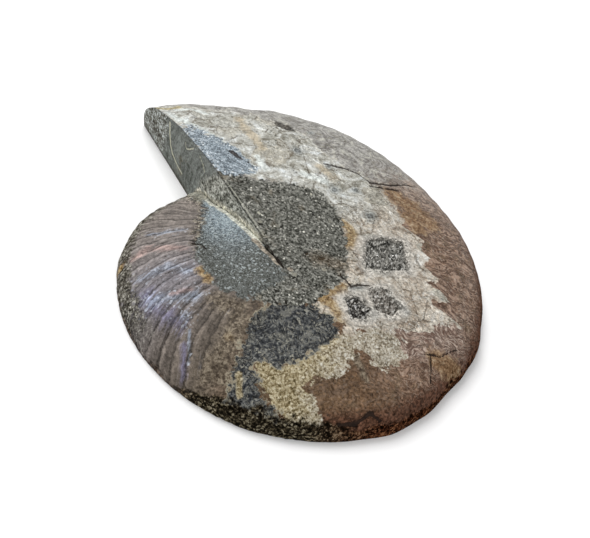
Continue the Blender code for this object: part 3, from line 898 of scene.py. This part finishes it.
def cream_calcite(s, colour):
    """Pale plates of calcite with agate lines, parted by thin dark cracks."""
    degrees, share, _ = s.coil
    on_right = s.rise(degrees, 70.0, 35.0)
    tongue = s.noise(s.joined(degrees * 0.16, share * 0.05, 8.0), 1.0, 3)
    edge = s.field("cream") + tongue * 12.0 + s.ragged * 0.7 + s.teeth(7.5) * on_right * 4.0
    agate = s.noise(s.place, 8, 5, 1.6, 0.6)
    lines = s.contours(9, 48.0)
    plates = s.cells(s.bent, 7.5, "Color")
    tone = s.parts(plates)[0] - 0.5
    value = agate * 1.15 + s.medium * 0.35 + lines * 0.03 + tone * 0.16 + 0.5
    cool = s.tones(
        value, (0.24, 108, 105, 94), (0.36, 146, 144, 134), (0.5, 173, 172, 164), (0.62, 191, 192, 187),
        (0.76, 212, 217, 218),
    )
    warm = s.tones(
        value, (0.24, 146, 130, 114), (0.4, 176, 164, 149), (0.54, 194, 185, 171), (0.68, 206, 200, 190),
        (0.8, 218, 218, 213),
    )
    cream = s.mix(on_right, cool, warm)
    cream = s.mix(s.rise(tone, 0.28, 0.45), cream, s.lit((164, 160, 148), s.medium * 0.6))
    rough = 0.68 - s.rise(s.coarse, -0.06, 0.06) * 0.36
    cream = s.lit(cream, s.grain * rough + s.medium * 0.3 + 0.01)
    cream = s.mix(s.rise(lines, -0.75, -1.0) * s.rise(agate, 0.02, -0.06) * 0.5, cream, (112, 106, 94))
    gaps = s.cells(s.bent, 7.5, "Distance", "DISTANCE_TO_EDGE")
    cracks = s.rise(gaps + s.fine * 0.05, 0.04, 0.01) * s.rise(s.noise(s.place, 6), -0.08, 0.04)
    cream = s.mix(cracks * 0.7, cream, (90, 78, 60))
    threads = s.line(s.noise(s.place, 5, 5, 2.2), -0.03, 0.012)
    cream = s.mix(threads * 0.55, cream, (112, 103, 86))
    veins = s.line(s.noise(s.place, 4, 4, 1.8), 0.03, 0.02)
    cream = s.mix(veins * 0.7, cream, (226, 227, 222))
    flecks = s.rise(s.medium, -0.02, -0.12) * s.rise(s.fine, -0.1, -0.16)
    cream = s.mix(flecks * 0.85, cream, (88, 80, 64))
    dots = s.blot("speckled", 0.8) * s.rise(s.cells(s.bent, 1.5), 0.36, 0.24)
    cream = s.mix(dots * 0.9, cream, (92, 92, 84))
    covered = s.mix(s.rise(edge, -0.25, 0.25), colour, cream)
    return s.mix(s.line(edge, 0.5, 0.5) * 0.4, covered, (210, 202, 188)), cracks * -0.3


def stains(s, colour):
    """Stains of the pale calcite, the grey ones ringed round a darker heart."""
    rings = s.math("SINE", (s.field("grey") + s.medium * 0.6) * 22.0)
    heart = s.rise(s.field("grey") + s.medium, 0.5, 0.9)
    grey = s.mix(heart, (146, 149, 146), (104, 108, 108))
    for name, softness, strength, stain in (
        ("buff", 0.9, 0.8, s.lit((182, 170, 148), s.grain * 0.35 + s.medium * 0.8 - 0.03)),
        ("white", 0.8, 0.85, s.lit((206, 211, 207), s.grain * 0.45 + s.medium * 0.6)),
        ("olive", 0.6, 0.9, s.lit((158, 147, 110), s.grain * 0.9 + s.medium * 0.6)),
        ("gold", 0.6, 0.95, s.tones(
            s.grain * 0.5 + s.medium + 0.5,
            (0.25, 90, 66, 43), (0.45, 128, 100, 74), (0.6, 154, 128, 99), (0.8, 184, 164, 139),
        )),
        ("rust", 0.7, 0.9, s.tones(
            s.grain * 0.8 + s.medium * 0.9 + 0.5,
            (0.22, 90, 68, 40), (0.42, 133, 108, 71), (0.56, 160, 136, 97), (0.78, 196, 177, 141),
        )),
        ("umber", 0.9, 0.8, s.tones(
            s.grain * 0.85 + s.medium * 0.7 + 0.5,
            (0.22, 58, 49, 40), (0.42, 94, 84, 71), (0.56, 115, 104, 89), (0.78, 154, 143, 125),
        )),
        ("grey", 0.9, 0.85, s.lit(grey, rings * 0.24 + s.grain * 0.6 + s.medium * 0.5)),
    ):
        colour = s.mix(s.blot(name, softness) * strength, colour, stain)
    return colour


def quartz_halo(s, colour):
    """Pale quartz round the hollows, speckled dark at their brink, and the hollows' own floor."""
    pocket = s.field("pocket")
    near = pocket + s.ragged * 0.8
    quartz = s.lit((194, 190, 182), s.grain * 0.6 + s.medium * 0.3)
    colour = s.mix(s.rise(near, -4.5, -1.0) * 0.8, colour, quartz)
    brink = s.rise(near, -1.8, -0.2) * s.rise(s.grain, 0.04, -0.08)
    colour = s.mix(brink * 0.8, colour, (70, 68, 62))
    floor = s.lit((112, 110, 104), s.grain)
    return s.mix(s.rise(pocket + s.fine * 0.8, -0.4, 0.2), colour, floor)


def granules(s):
    """Granular ochre calcite, whiter towards the right."""
    x, _, _ = s.parts(s.place)
    value = s.grain * 0.85 + s.dust * 1.1 + s.medium * 0.35 + 0.5
    ochre = s.tones(
        value, (0.18, 86, 74, 46), (0.36, 134, 119, 87), (0.5, 168, 154, 121), (0.66, 196, 183, 151),
        (0.86, 226, 218, 192),
    )
    white = s.tones(
        value, (0.18, 96, 87, 72), (0.36, 150, 139, 120), (0.5, 182, 172, 153), (0.66, 204, 197, 182),
        (0.86, 228, 226, 216),
    )
    return s.mix(s.rise(x + s.ragged * 3.0, 12.0, 28.0), ochre, white)


def granular_tan(s, colour):
    edge = s.field("tan") + s.ragged * 1.1 + s.teeth(4.0)
    share = s.rise(edge, -0.3, 0.3)
    return s.mix(share, colour, granules(s)), share


def opal_stone(s, colour):
    """Bluish white stone by the aperture, with streaks and a small dark cavity."""
    share, edge = s.patch("opal", 0.7, 1.6)
    degrees = s.coil[0]
    x, y, _ = s.parts(s.place)
    across = s.noise(s.joined(x * 0.7, y * 2.0, 2.0), 2.6, 5, 1.2, 0.65)
    low = s.rise(edge, 4.0, 1.0)
    opal = s.tones(
        across * 0.8 + s.dust * 1.7 + s.grain * 0.45 + 0.5, (0.15, 50, 54, 56), (0.32, 92, 100, 106),
        (0.46, 123, 134, 142), (0.58, 147, 158, 166), (0.72, 186, 197, 204), (0.9, 226, 232, 238),
    )
    opal = s.mix(low * s.specks, opal, (52, 52, 50))
    opal = s.mix(low * s.sparks, opal, (226, 230, 230))
    return s.mix(share * s.rise(degrees, 40.0, 60.0), colour, opal)


def blue_stone(s, colour):
    """Blue-grey stone below the seam, paler towards it."""
    share, edge = s.patch("blue", 0.7, 1.2)
    degrees = s.coil[0]
    seam = s.field("seam")
    reach = s.wall[0]
    haze = s.rise(seam + s.ragged * 2.0, 19.0, 3.0) * s.rise(reach, 9.0, 30.0)
    dashes = s.line(s.noise(s.bent, 1.5, 2, 1.2), 0.05, 0.035)
    value = s.dust * 2.7 + s.grain * 0.55 + s.medium * 0.35 + dashes * 0.16 + 0.47
    plain = s.tones(
        value, (0.15, 46, 49, 48), (0.34, 76, 80, 78), (0.5, 101, 106, 105), (0.68, 133, 140, 140),
        (0.9, 190, 198, 199),
    )
    pale = s.tones(
        value, (0.15, 90, 98, 103), (0.34, 124, 135, 141), (0.5, 149, 163, 170), (0.68, 177, 191, 198),
        (0.9, 218, 229, 234),
    )
    _, y, _ = s.parts(s.place)
    plain = s.mix(s.rise(y, -13.0, -22.0) * 0.5, plain, s.lit((92, 91, 83), s.dust * 1.8))
    stone = s.mix(haze, plain, pale)
    spots = s.rise(s.cells(s.bent, 2.6), 0.16, 0.08)
    stone = s.mix(spots * 0.85, stone, (34, 34, 32))
    stone = s.mix(s.sparks * 0.6, stone, (196, 205, 206))
    stone = s.mix(s.specks * 0.5, stone, (48, 50, 48))
    share = share * s.rise(degrees, -40.0, -66.0)
    rind = s.line(edge + s.medium, 0.0, 2.4) * s.rise(degrees, -140.0, -165.0)
    colour = s.mix(share, colour, stone)
    crumbs = s.tones(
        s.grain * 1.3 + 0.5, (0.25, 22, 17, 12), (0.45, 68, 61, 50), (0.6, 114, 104, 86),
        (0.8, 190, 182, 164),
    )
    return s.mix(rind * 0.75, colour, crumbs), share


def dark_stone(s, colour):
    """Dark stone with curls of pale shell."""
    share, edge = s.patch("dark", 0.3, 1.2)
    value = s.grain + s.medium * 0.6 + s.coarse * 0.4 + 0.5
    stone = s.tones(
        value, (0.16, 28, 30, 32), (0.36, 54, 56, 59), (0.52, 74, 76, 78), (0.68, 100, 102, 101),
        (0.88, 150, 150, 144),
    )
    olive = s.rise(s.noise(s.place, 5, 2), 0.1, 0.18)
    stone = s.mix(olive * 0.35, stone, s.lit((92, 91, 82), s.grain * 0.9))
    slow = s.noise(s.place, 3.4, 1, 2.2)
    curls = s.line(slow + s.fine * 0.03, 0.08, 0.036) * s.rise(s.medium, -0.16, -0.06)
    stone = s.mix(s.line(slow, 0.035, 0.03) * 0.75, stone, (26, 27, 29))
    stone = s.mix(curls * 0.95, stone, (172, 169, 156))
    folds = s.contours(6, 36.0)
    broken = s.rise(s.medium, -0.1, 0.02)
    stone = s.mix(s.rise(folds, 0.72, 0.96) * broken * 0.5, stone, (138, 137, 129))
    stone = s.mix(s.rise(folds, -0.6, -0.95) * 0.5, stone, (40, 41, 43))
    colour = s.mix(share, colour, stone)
    colour = s.mix(s.line(edge, 1.0, 0.5) * 0.5, colour, (34, 33, 30))
    rind = s.line(edge, -0.1, 0.6) * s.rise(s.medium + s.coarse, -0.14, 0.0)
    return s.mix(rind * 0.75, colour, (176, 168, 146)), share, curls * 0.3


def sand(s):
    """Dark sandy rock with angular grains, and painted shade in its small hollows."""
    value = s.grain + s.medium * 0.4 + s.coarse * 0.25 + 0.5
    ground = s.tones(
        value, (0.12, 36, 36, 32), (0.34, 80, 80, 73), (0.5, 109, 109, 102), (0.66, 134, 134, 127),
        (0.88, 178, 177, 168),
    )
    brown = s.rise(s.noise(s.place, 6, 3), 0.1, 0.22)
    ground = s.mix(brown * 0.45, ground, s.lit((112, 101, 82), s.grain))
    ground = s.clasts(ground, 0.55, (206, 204, 194), 0.07, (30, 30, 26), 0.1)
    ground = s.clasts(ground, 1.4, (172, 170, 156), 0.016, (40, 39, 34), 0.03)
    # Painted shade: near-black in the small hollows of the rock
    hollow = s.rise(s.noise(s.bent, 1.8, 2), 0.2, 0.24)
    return s.mix(hollow * 0.9, ground, (22, 22, 18)), hollow


def sandy_matrix(s, colour):
    share, _ = s.patch("matrix", 0.16, 0.9)
    degrees = s.coil[0]
    share = share * s.rise(degrees, -150.0, -142.0)
    ground, hollow = sand(s)
    tarnished = s.mix(s.blot("tarnish", 1.0) * 0.4, ground, s.lit((118, 98, 74), s.grain))
    return s.mix(share, colour, tarnished), share, hollow * share * -0.8


def flank_material():
    s = Stone("polished_flank")
    colour, shell_height = ribbed_shell(s)
    colour = side_crust(s, colour)
    colour, cream_height = cream_calcite(s, colour)
    colour = stains(s, colour)
    colour = quartz_halo(s, colour)
    colour, tan = granular_tan(s, colour)
    colour = opal_stone(s, colour)
    colour, dark, curls = dark_stone(s, colour)
    colour = s.mix(s.blot("granular", 0.6) * 0.85, colour, granules(s))
    colour, blue = blue_stone(s, colour)
    colour, matrix, hollows = sandy_matrix(s, colour)
    colour = worn_and_shaded_foot(s, colour)

    # Shell lip along the seam and round the brow of the wall
    reach = s.wall[0]
    seam = s.field("seam") + s.medium * 1.4
    lip = s.rise(seam, 2.5, 1.3) * s.rise(reach, 11.0, 15.0)
    colour = s.mix(lip * 0.9, colour, s.lit((226, 226, 212), s.grain * 0.8))
    notch = s.rise(seam + s.ragged * 0.4, 5.5, 2.5) * s.rise(reach, 43.0, 47.0)
    colour = s.mix(notch * 0.8, colour, s.lit((152, 149, 134), s.grain * 1.1))
    rubble = s.lit((156, 147, 133), s.grain * 1.2)
    colour = s.mix(s.blot("rubble", 0.4), colour, rubble)
    brow = s.field("brow") + s.fine * 0.3
    middle_reach = s.rise(reach, 13.0, 16.0) * s.rise(reach, 44.0, 36.0)
    colour = s.mix(s.line(brow, 0.95, 0.35) * middle_reach * 0.85, colour, (178, 178, 164))
    colour = s.mix(s.rise(brow, 0.55, 0.15) * s.rise(reach, 13.0, 16.0) * 0.75, colour, (40, 40, 36))

    crack = s.rise(s.field("crack") + s.ragged * 0.35, 1.3, 0.7)
    colour = s.mix(crack * 0.9, colour, (45, 37, 33))
    pit = s.rise(s.field("pit") + s.fine * 0.6, 0.1, 0.6)
    colour = s.mix(pit * 0.85, colour, s.lit((68, 65, 59), s.grain * 2.1 + s.medium * 1.6))

    stone = s.math("MAXIMUM", s.math("MAXIMUM", matrix, tan), s.math("MAXIMUM", dark, blue))
    height = shell_height + s.grain * stone * 0.9 - crack + cream_height + hollows + curls
    roughness = 0.33 + stone * 0.2 + s.fine * 0.3
    return s.finish(colour, height, 0.4, roughness, gloss=s.rise(s.coil[1], 97.0, 84.0) * 0.5)


def wall_material():
    """Broken stone of the aperture: smooth grey, beige conglomerate below, worn at the tip."""
    s = Stone("broken_aperture")
    reach, height, _ = s.wall
    curve = reach - height * 0.5 + height * height * 0.03
    drawn = s.noise(s.joined(curve * 1.1, height * 0.12), 1.4, 4, roughness=0.6)
    value = s.coarse * 0.7 + drawn * 0.8 + s.grain * 0.5 + 0.5
    stone = s.tones(
        value, (0.2, 56, 58, 51), (0.38, 90, 94, 88), (0.52, 111, 115, 110), (0.68, 134, 139, 134),
        (0.85, 168, 173, 166),
    )
    beige = s.rise(reach + height * 0.5 + s.coarse * 20.0 + s.ragged * 2.0, 60.0, 53.0)
    lower = s.tones(
        s.grain * 1.1 + s.medium * 1.2 + s.coarse * 0.4 + 0.52, (0.18, 52, 51, 43), (0.36, 110, 110, 100),
        (0.5, 156, 156, 145), (0.66, 190, 190, 179), (0.86, 230, 230, 221),
    )
    stone = s.mix(beige * 0.9, stone, lower)
    brown = s.line(reach, 64.0, 7.0) * s.rise(height, 14.0, 9.0) * s.rise(s.medium + s.coarse, -0.04, 0.1)
    stone = s.mix(brown * 0.75, stone, s.lit((84, 74, 50), s.grain * 0.9))
    worn = s.rise(reach + s.coarse * 12.0 + s.ragged, 76.0, 81.0)
    spotted = s.tones(
        s.grain * 1.1 + s.medium + s.coarse * 0.5 + 0.5, (0.2, 36, 32, 21), (0.4, 82, 80, 68),
        (0.55, 120, 121, 112), (0.72, 156, 160, 156), (0.88, 206, 212, 210),
    )
    stone = s.mix(worn, stone, spotted)
    foot = s.rise(s.field("foot") + s.ragged * 0.6, 2.2, 0.6)
    foot = foot * s.rise(reach, 57.0, 53.0) * s.rise(reach, 11.0, 15.0)
    stone = s.mix(foot * 0.85, stone, s.lit((204, 200, 184), s.grain))
    stone = s.mix(s.rise(reach + s.ragged * 1.5, 17.0, 12.0), stone, sand(s)[0])
    # Painted shade: near-black in small pits of the stone
    pits = s.rise(s.noise(s.bent, 1.8, 2), 0.14, 0.2) * s.rise(reach, 58.0, 48.0)
    stone = s.mix(pits * 0.85, stone, (34, 32, 26))
    edge = s.rise(height + s.ragged * 0.3, 2.2, 0.4)
    stone = s.mix(edge * 0.7, stone, (56, 50, 38))
    line = s.field("wall_line") + s.fine * 1.2
    drawn_line = s.rise(line, 2.0, 0.9)
    stone = s.mix(s.line(line, 3.0, 1.1) * 0.6, stone, (52, 50, 38))
    stone = s.mix(drawn_line * 0.9, stone, (198, 196, 174))
    bumps = s.grain * 0.5 + drawn * 0.5 + drawn_line * 0.15 - pits * 0.5
    return s.finish(stone, bumps, 0.4, 0.42)


def sawn_material():
    """Polished section: whorls parted by a thin shell wall, and by curved septa into chambers."""
    s = Stone("sawn_face")
    x, y, _ = s.parts(s.place)
    x, y = x + float(ORIGIN[0]), y + float(ORIGIN[1])
    radius = s.math("SQRT", x * x + y * y)
    angle = s.math("ARCTAN2", y, x) / TAU
    turns = s.math("LOGARITHM", radius / APERTURE_RADIUS, math.e) * (1 / math.log(EXPANSION))
    turn = turns - angle + (APERTURE_ANGLE / TAU + 20.0)
    across = s.math("FRACT", turn)
    middle = across - 0.5
    bulge = middle * middle * 1.6
    count = angle * SEPTA_PER_TURN + bulge + 40.0 + s.medium * 0.06
    septum = s.math("FRACT", count)
    own = s.joined(s.math("FLOOR", count), s.math("FLOOR", turn))
    own = s.signal("ShaderNodeTexWhiteNoise", {0: own})
    fill = s.tones(
        own * 0.8 + s.medium * 0.4 + 0.1, (0.1, 96, 62, 36), (0.35, 150, 110, 70), (0.6, 196, 172, 134),
        (0.85, 214, 206, 188),
    )
    druse = s.line(middle, 0.0, 0.3) * s.line(septum, 0.5, 0.34)
    fill = s.mix(druse * 0.6, fill, (88, 84, 78))
    body = s.rise(radius + s.coarse * 4.0, 54.0, 58.0)
    fill = s.mix(body, fill, s.lit((116, 108, 92), s.grain * 0.8))
    wall_gap = s.math("MINIMUM", across, 1.0 - across) * radius * 0.6
    septum_gap = s.math("MINIMUM", septum, 1.0 - septum) * radius * 0.28
    septa = s.rise(septum_gap, 0.5, 0.3) * (1.0 - body)
    lines = s.math("MAXIMUM", s.rise(wall_gap, 0.75, 0.45), septa)
    colour = s.mix(lines, s.lit(fill, s.grain * 0.3), (62, 44, 30))
    return s.finish(colour, s.fine * 0.4 - lines * 0.3, 0.1, 0.25, refraction=1.45)


def crystal_material(name, dark, light):
    r = Recipe(name)
    shade = r.parts(r.cells(r.place, 0.7, "Color"))[0]
    fine = r.noise(r.place, 0.5, 2)
    colour = r.tones(shade + fine * 0.6, (0.1, *dark), (0.6, *light), (0.95, 206, 204, 198))
    return r.finish(colour, fine, 0.05, 0.16, refraction=1.5)


# ---------------------------------------------------------------- crystals
CRUST_SPREAD = 0.7  # how far a crust reaches under the ragged brink of its pocket
CRUST_FLOOR_GAP = 0.3  # how far above the pocket's depth a crust lies
CRUST_THICKNESS = 0.7
POINT_HEIGHTS = (0.35, 1.15)


def build_crust(name, outline, depth, spacing, seed):
    """Sharp crystal points close together over the floor of a pocket."""
    rim = inset(outline, -CRUST_SPREAD)
    rng = np.random.default_rng(seed)
    border = []
    for a, b in zip(rim, np.roll(rim, -1, axis=0)):
        steps = max(1, round(float(np.hypot(*(b - a))) / spacing))
        border += [tuple(a + (b - a) * step / steps) for step in range(steps)]
    tips = grid_inside(border, spacing, spacing * 0.4)
    tips = tips + rng.uniform(-0.2, 0.2, tips.shape) * spacing
    keep = inside(tips[:, 0], tips[:, 1], border) > spacing * 0.3
    tips = tips[keep]
    valleys = tips + np.array([spacing / 2, 0]) + rng.uniform(-0.1, 0.1, tips.shape) * spacing
    valleys = valleys[inside(valleys[:, 0], valleys[:, 1], border) > spacing * 0.3]
    flat = border + [tuple(p) for p in tips] + [tuple(p) for p in valleys]
    faces = filled(border, flat[len(border):])
    plan = np.array(flat)
    floor = height_at(plan) - depth + CRUST_FLOOR_GAP
    top = floor + CRUST_THICKNESS
    tip_range = slice(len(border), len(border) + len(tips))
    top[tip_range] += rng.uniform(*POINT_HEIGHTS, len(tips))
    count = len(flat)
    points = np.concatenate([np.column_stack([plan, top]), np.column_stack([plan, floor])])
    solid = [tuple(face) for face in faces] + [tuple(i + count for i in reversed(face)) for face in faces]
    for i in range(len(border)):
        j = (i + 1) % len(border)
        solid += [(i, i + count, j + count), (i, j + count, j)]
    made, _ = make_mesh(name, points, solid)
    return made


def inset(outline, distance):
    """The outline moved in on every side by a distance."""
    corners = np.array(outline, dtype=float)
    middle = corners.mean(axis=0)
    moved = []
    for i, corner in enumerate(corners):
        before = corner - corners[i - 1]
        after = corners[(i + 1) % len(corners)] - corner
        before, after = before / np.hypot(*before), after / np.hypot(*after)
        inward = np.array([-(before + after)[1], (before + after)[0]])
        inward /= np.hypot(*inward)
        inward *= math.copysign(1, inward @ (middle - corner))
        bend = abs(before[0] * inward[1] - before[1] * inward[0])
        moved.append(corner + inward * distance / max(bend, 0.5))
    return np.array(moved)


# ---------------------------------------------------------------- the pieces
points, faces, kinds, angles, rows = build_fossil()
fossil, used = make_mesh("ammonite_half", points, faces)
for finish in (flank_material(), wall_material(), sawn_material()):
    fossil.data.materials.append(finish)
fossil.data.polygons.foreach_set("material_index", kinds)
fossil.data.polygons.foreach_set("use_smooth", kinds != SAWN)
add_fields(fossil, used, points, angles, rows)
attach(fossil, "root")
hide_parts("ammonite")

CRUSTS = (
    ("crystal_crust_large", 0.85, (50, 50, 46), (132, 130, 124)),
    ("crystal_crust_dark", 0.95, (14, 13, 11), (76, 73, 68)),
    ("crystal_crust_grey", 0.8, (72, 68, 62), (150, 144, 136)),
)
for seed, (node, spacing, dark, light) in enumerate(CRUSTS):
    outline, depth = POCKETS[node]
    crust = build_crust(node.replace("crust", "points"), outline, depth, spacing, seed)
    crust.data.materials.append(crystal_material(node, dark, light))
    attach(crust, "root")
    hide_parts(node)

# ---------------------------------------------------------------- floor, light and camera
FLOOR_HALF = 3.0
FLOOR_DROP = 0.0001
SKY_STRENGTH = 0.6
LIGHTS = (("key", (-0.35, 0.3, 0.85), 0.5, 6.15), ("fill", (0.1, -0.8, 0.7), 0.9, 1.5))  # place, size, power
ELEVATION = math.radians(44.1)
ROLL = math.radians(18.3)
DISTANCE = 0.4
AIM = Vector((2.08 * MM, 0.81 * MM, 0))
SENSOR_WIDTH = 36
LENS = 73.2
NEAREST_SEEN = 0.01

floor_data = bpy.data.meshes.new("floor")
corners = [(x * FLOOR_HALF, y * FLOOR_HALF, -FLOOR_DROP) for x, y in ((-1, -1), (1, -1), (1, 1), (-1, 1))]
floor_data.from_pydata(corners, [], [(0, 1, 2, 3)])
floor = add_to_scene("floor", floor_data)
floor_finish = bpy.data.materials.new("pale_floor")
floor_finish.use_nodes = True
floor_shader = floor_finish.node_tree.nodes["Principled BSDF"]
floor_shader.inputs["Base Color"].default_value = (0.97, 0.97, 0.97, 1)
floor_shader.inputs["Roughness"].default_value = 0.9
floor_shader.inputs["Specular IOR Level"].default_value = 0.1
floor_data.materials.append(floor_finish)

scene = bpy.context.scene
scene.view_settings.view_transform = "Standard"
world = bpy.data.worlds.new("studio")
world.use_nodes = True
world.node_tree.nodes["Background"].inputs["Color"].default_value = (1.0, 1.0, 1.0, 1)
world.node_tree.nodes["Background"].inputs["Strength"].default_value = SKY_STRENGTH
scene.world = world

for name, place, size, power in LIGHTS:
    light = bpy.data.lights.new(name, "AREA")
    light.size = size
    light.energy = power
    lamp = add_to_scene(name, light)
    lamp.location = place
    lamp.rotation_euler = (-Vector(place)).to_track_quat("-Z", "Y").to_euler()

camera_data = bpy.data.cameras.new("camera")
camera_data.sensor_width = SENSOR_WIDTH
camera_data.lens = LENS
camera_data.clip_start = NEAREST_SEEN
camera = add_to_scene("camera", camera_data)
turn = Matrix.Rotation(math.pi / 2 - ELEVATION, 3, "X") @ Matrix.Rotation(ROLL, 3, "Z")
back = Vector((0, -math.cos(ELEVATION), math.sin(ELEVATION)))
camera.matrix_world = Matrix.Translation(AIM + DISTANCE * back) @ turn.to_4x4()
scene.camera = camera
